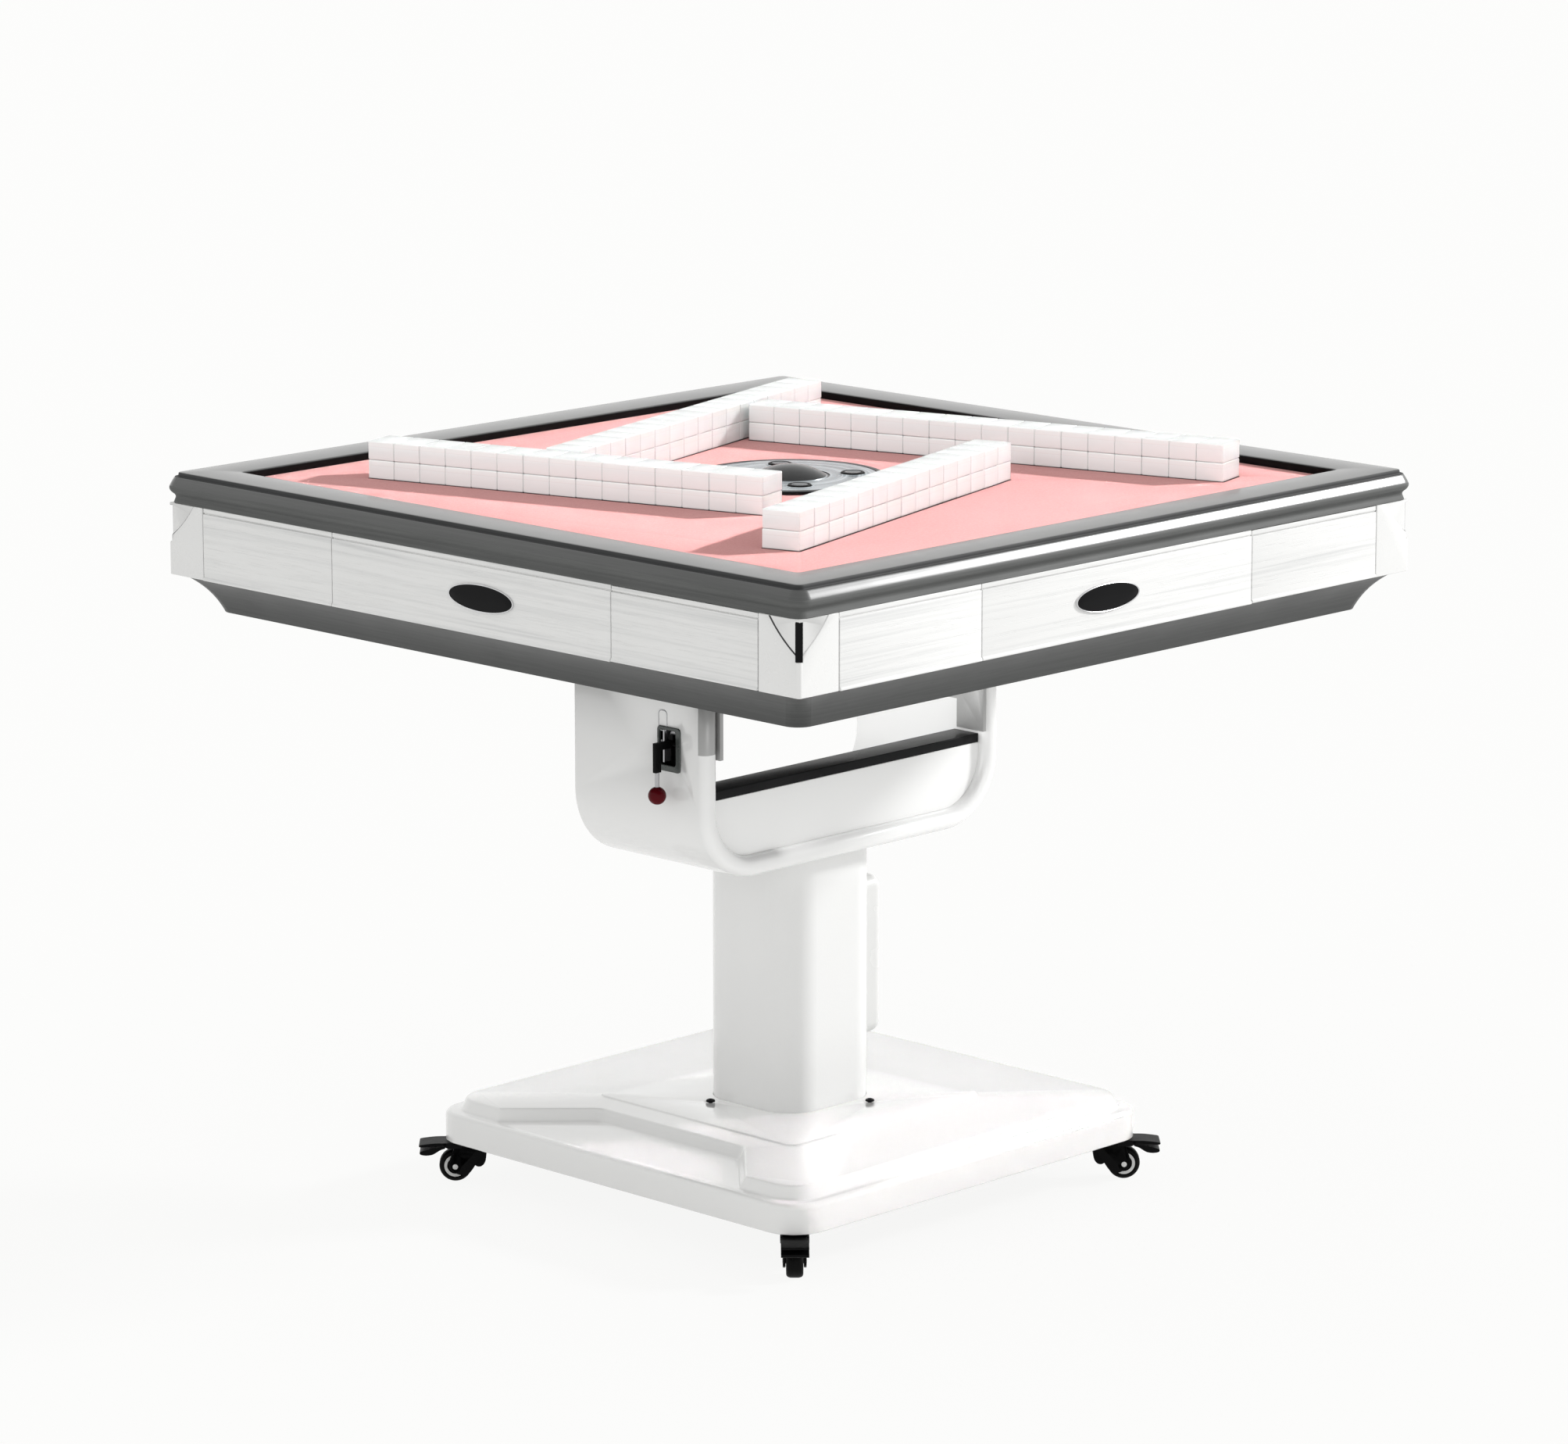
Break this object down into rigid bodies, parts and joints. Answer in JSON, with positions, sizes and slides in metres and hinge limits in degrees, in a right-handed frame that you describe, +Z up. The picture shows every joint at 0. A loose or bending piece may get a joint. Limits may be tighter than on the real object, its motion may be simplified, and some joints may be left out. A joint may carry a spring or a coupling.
{
  "type": "folding mahjong table",
  "caption": "Square automatic mahjong table with side drawers, felt play field, tile lifts and centre controls, folding on a yoke and column over a wheeled base.",
  "frame": {"origin": "on the floor under the middle of the table, at the bottom centre of its bounding box", "axes": "+Z up; +X is the side that the table folds down to; -Y is the side with the latch lever"},
  "size_m": [0.96, 0.96, 0.828],
  "materials": {
    "white_shell": "gloss moulded shell",
    "white_paint": "gloss white paint",
    "steel": "plain steel",
    "dark_steel": "black paint",
    "grey_plastic": "satin dark grey",
    "black_plastic": "satin black",
    "ash_board": "white ash-grained foil",
    "board": "plain board",
    "felt": "short pink pile",
    "badge": "gloss black, bare",
    "lever": "black lever with a dark red ball",
    "tyre": "black tyre on a light hub",
    "tile": "polished melamine",
    "grey_disc": "satin grey",
    "smoked": "smoked clear plastic"
  },
  "bodies": {
    "stand": {"base_plate": "dark_steel", "base_cover": "white_shell", "column": "white_paint", "power_box": "white_shell", "yoke_shell": "white_shell", "yoke_web_panels": "white_paint", "yoke_shelf": "dark_steel", "latch_pocket": "black_plastic", "pivot_pins": "steel", "castor_plates": "steel", "stand_screws": "dark_steel"},
    "latch_lever": {"latch_lever": "lever"},
    "lock_bolt": {"lock_bolt": "steel"},
    "table": {"rim_frame": "grey_plastic", "play_board": "board", "felt_cloth": "felt", "fascia_panels": "ash_board", "corner_caps": "white_shell", "corner_posts": "black_plastic", "badges": "badge", "bottom_pan": "grey_plastic", "chassis_plate": "steel", "pivot_brackets": "dark_steel", "drawer_runners": "steel", "lift_guides": "black_plastic", "shuffle_motor": "dark_steel"},
    "turntable": {"turntable": "grey_disc"},
    "drive_roller": {"drive_roller": "tyre"},
    "centre_lift": {"centre_lift_tube": "black_plastic", "control_dish": "grey_disc", "dice_dome": "smoked"},
    "dice_plate": {"dice_plate": "grey_disc"},
    "castor_1": {"castor_fork_1": "dark_steel"},
    "castor_wheel_1": {"castor_wheel_1": "tyre"},
    "castor_pedal_1": {"castor_pedal_1": "black_plastic"},
    "castor_2": {"castor_fork_2": "dark_steel"},
    "castor_wheel_2": {"castor_wheel_2": "tyre"},
    "castor_pedal_2": {"castor_pedal_2": "black_plastic"},
    "castor_3": {"castor_fork_3": "dark_steel"},
    "castor_wheel_3": {"castor_wheel_3": "tyre"},
    "castor_pedal_3": {"castor_pedal_3": "black_plastic"},
    "castor_4": {"castor_fork_4": "dark_steel"},
    "castor_wheel_4": {"castor_wheel_4": "tyre"},
    "castor_pedal_4": {"castor_pedal_4": "black_plastic"},
    "button_1": {"button_1": "black_plastic"},
    "drawer_1": {"drawer_1": "ash_board"},
    "tile_lift_1": {"tile_lift_1": "black_plastic", "tile_wall_1": "tile"},
    "button_2": {"button_2": "black_plastic"},
    "drawer_2": {"drawer_2": "ash_board"},
    "tile_lift_2": {"tile_lift_2": "black_plastic", "tile_wall_2": "tile"},
    "button_3": {"button_3": "black_plastic"},
    "drawer_3": {"drawer_3": "ash_board"},
    "tile_lift_3": {"tile_lift_3": "black_plastic", "tile_wall_3": "tile"},
    "button_4": {"button_4": "black_plastic"},
    "drawer_4": {"drawer_4": "ash_board"},
    "tile_lift_4": {"tile_lift_4": "black_plastic", "tile_wall_4": "tile"}
  },
  "joints": [
    {"name": "table_fold", "type": "hinge", "parent": "stand", "child": "table", "pos_m": [0.08, 0, 0.6], "axis": [0, 1, 0], "range_deg": [0, 90]},
    {"name": "latch_swing", "type": "hinge", "parent": "stand", "child": "latch_lever", "pos_m": [0.047, -0.228, 0.536], "axis": [-1, 0, 0], "range_deg": [0, 40]},
    {"name": "lock_bolt_slide", "type": "slide", "parent": "stand", "child": "lock_bolt", "axis": [0, 1, 0], "range_m": [0, 0.007]},
    {"name": "castor_swivel_1", "type": "hinge", "parent": "stand", "child": "castor_1", "pos_m": [0.249, -0.249, 0], "axis": [0, 0, 1], "continuous": true},
    {"name": "wheel_roll_1", "type": "hinge", "parent": "castor_1", "child": "castor_wheel_1", "pos_m": [0.26173, -0.26173, 0.018], "axis": [0.7071, 0.7071, 0], "continuous": true},
    {"name": "brake_press_1", "type": "hinge", "parent": "castor_1", "child": "castor_pedal_1", "pos_m": [0.25961, -0.25961, 0.0435], "axis": [0.7071, 0.7071, 0], "range_deg": [0, 20]},
    {"name": "castor_swivel_2", "type": "hinge", "parent": "stand", "child": "castor_2", "pos_m": [0.249, 0.249, 0], "axis": [0, 0, 1], "continuous": true},
    {"name": "wheel_roll_2", "type": "hinge", "parent": "castor_2", "child": "castor_wheel_2", "pos_m": [0.26173, 0.26173, 0.018], "axis": [-0.7071, 0.7071, 0], "continuous": true},
    {"name": "brake_press_2", "type": "hinge", "parent": "castor_2", "child": "castor_pedal_2", "pos_m": [0.25961, 0.25961, 0.0435], "axis": [-0.7071, 0.7071, 0], "range_deg": [0, 20]},
    {"name": "castor_swivel_3", "type": "hinge", "parent": "stand", "child": "castor_3", "pos_m": [-0.249, 0.249, 0], "axis": [0, 0, 1], "continuous": true},
    {"name": "wheel_roll_3", "type": "hinge", "parent": "castor_3", "child": "castor_wheel_3", "pos_m": [-0.26173, 0.26173, 0.018], "axis": [-0.7071, -0.7071, 0], "continuous": true},
    {"name": "brake_press_3", "type": "hinge", "parent": "castor_3", "child": "castor_pedal_3", "pos_m": [-0.25961, 0.25961, 0.0435], "axis": [-0.7071, -0.7071, 0], "range_deg": [0, 20]},
    {"name": "castor_swivel_4", "type": "hinge", "parent": "stand", "child": "castor_4", "pos_m": [-0.249, -0.249, 0], "axis": [0, 0, 1], "continuous": true},
    {"name": "wheel_roll_4", "type": "hinge", "parent": "castor_4", "child": "castor_wheel_4", "pos_m": [-0.26173, -0.26173, 0.018], "axis": [0.7071, -0.7071, 0], "continuous": true},
    {"name": "brake_press_4", "type": "hinge", "parent": "castor_4", "child": "castor_pedal_4", "pos_m": [-0.25961, -0.25961, 0.0435], "axis": [0.7071, -0.7071, 0], "range_deg": [0, 20]},
    {"name": "turntable_spin", "type": "hinge", "parent": "table", "child": "turntable", "pos_m": [0, 0, 0.699], "axis": [0, 0, 1], "continuous": true},
    {"name": "roller_spin", "type": "hinge", "parent": "table", "child": "drive_roller", "pos_m": [0.17462, -0.02392, 0.699], "axis": [0, 0, 1], "continuous": true},
    {"name": "centre_rise", "type": "slide", "parent": "table", "child": "centre_lift", "axis": [0, 0, 1], "range_m": [0, 0.05]},
    {"name": "dice_spin", "type": "hinge", "parent": "centre_lift", "child": "dice_plate", "pos_m": [0, 0, 0.7703], "axis": [0, 0, 1], "continuous": true},
    {"name": "button_press_1", "type": "slide", "parent": "centre_lift", "child": "button_1", "axis": [0, 0, 1], "range_m": [-0.002, 0], "stiffness_N_per_m": 600, "springref_m": 0.001},
    {"name": "drawer_slide_1", "type": "slide", "parent": "table", "child": "drawer_1", "axis": [0, -1, 0], "range_m": [0, 0.09]},
    {"name": "tile_lift_slide_1", "type": "slide", "parent": "table", "child": "tile_lift_1", "axis": [0, 0, 1], "range_m": [-0.046, 0]},
    {"name": "button_press_2", "type": "slide", "parent": "centre_lift", "child": "button_2", "axis": [0, 0, 1], "range_m": [-0.002, 0], "stiffness_N_per_m": 600, "springref_m": 0.001},
    {"name": "drawer_slide_2", "type": "slide", "parent": "table", "child": "drawer_2", "axis": [1, 0, 0], "range_m": [0, 0.09]},
    {"name": "tile_lift_slide_2", "type": "slide", "parent": "table", "child": "tile_lift_2", "axis": [0, 0, 1], "range_m": [-0.046, 0]},
    {"name": "button_press_3", "type": "slide", "parent": "centre_lift", "child": "button_3", "axis": [0, 0, 1], "range_m": [-0.002, 0], "stiffness_N_per_m": 600, "springref_m": 0.001},
    {"name": "drawer_slide_3", "type": "slide", "parent": "table", "child": "drawer_3", "axis": [0, 1, 0], "range_m": [0, 0.09]},
    {"name": "tile_lift_slide_3", "type": "slide", "parent": "table", "child": "tile_lift_3", "axis": [0, 0, 1], "range_m": [-0.046, 0]},
    {"name": "button_press_4", "type": "slide", "parent": "centre_lift", "child": "button_4", "axis": [0, 0, 1], "range_m": [-0.002, 0], "stiffness_N_per_m": 600, "springref_m": 0.001},
    {"name": "drawer_slide_4", "type": "slide", "parent": "table", "child": "drawer_4", "axis": [-1, 0, 0], "range_m": [0, 0.09]},
    {"name": "tile_lift_slide_4", "type": "slide", "parent": "table", "child": "tile_lift_4", "axis": [0, 0, 1], "range_m": [-0.046, 0]}
  ],
  "couplings": [
    {"joint": "lock_bolt_slide", "follows": "latch_swing", "m_per_rad": 0.0098},
    {"joint": "roller_spin", "follows": "turntable_spin", "ratio": -10.73}
  ]
}
